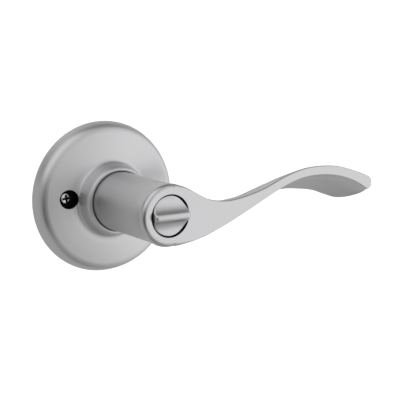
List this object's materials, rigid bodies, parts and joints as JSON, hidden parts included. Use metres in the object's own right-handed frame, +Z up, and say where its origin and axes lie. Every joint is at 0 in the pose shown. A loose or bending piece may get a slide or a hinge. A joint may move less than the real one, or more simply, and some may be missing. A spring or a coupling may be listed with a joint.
{
  "type": "door lever handle",
  "caption": "Privacy lever handle for the room side of a door: round rose, hollow neck, twisted wave lever and a turn button in its hub.",
  "frame": {"origin": "on the spindle axis in the plane of the door face, which is the back of the rose", "axes": "+Y goes into the door along the spindle and screws, -Y out to the user, +X along the lever arm at rest, +Z up"},
  "size_m": [0.1339, 0.0973, 0.0636],
  "materials": {
    "satin_nickel": "satin brushed nickel",
    "zinc_steel": "zinc plated",
    "bright_steel": "bright plated",
    "spring_steel": "oiled spring steel",
    "brass": "plain",
    "nylon": "moulded"
  },
  "bodies": {
    "rose": {"rose_cover": "satin_nickel", "mounting_plate": "zinc_steel", "spring_housing": "zinc_steel", "housing_cap": "zinc_steel", "housing_rivets": "zinc_steel", "neck_bushing": "nylon", "screw_washers": "zinc_steel", "through_screws": "bright_steel", "return_spring": "spring_steel", "spring_washer": "spring_steel"},
    "lever": {"lever": "satin_nickel", "drive_hub": "zinc_steel", "drive_spindle": "zinc_steel", "hub_pins": "bright_steel", "thrust_washer": "brass", "retaining_ring": "spring_steel", "button_sleeve": "nylon", "detent_clip": "spring_steel"},
    "button": {"turn_button": "satin_nickel", "button_stem": "zinc_steel", "torque_blade": "zinc_steel", "stem_clip": "spring_steel"}
  },
  "joints": [
    {"name": "lever_turn", "type": "hinge", "parent": "rose", "child": "lever", "pos_m": [0, 0, 0], "axis": [0, 1, 0], "range_deg": [-50, 50], "stiffness_Nm_per_rad": 0.8, "springref_deg": -2.58, "deforming": ["return_spring"]},
    {"name": "button_turn", "type": "hinge", "parent": "lever", "child": "button", "pos_m": [0, 0, 0], "axis": [0, 1, 0], "range_deg": [0, 90], "deforming": ["detent_clip"]}
  ]
}
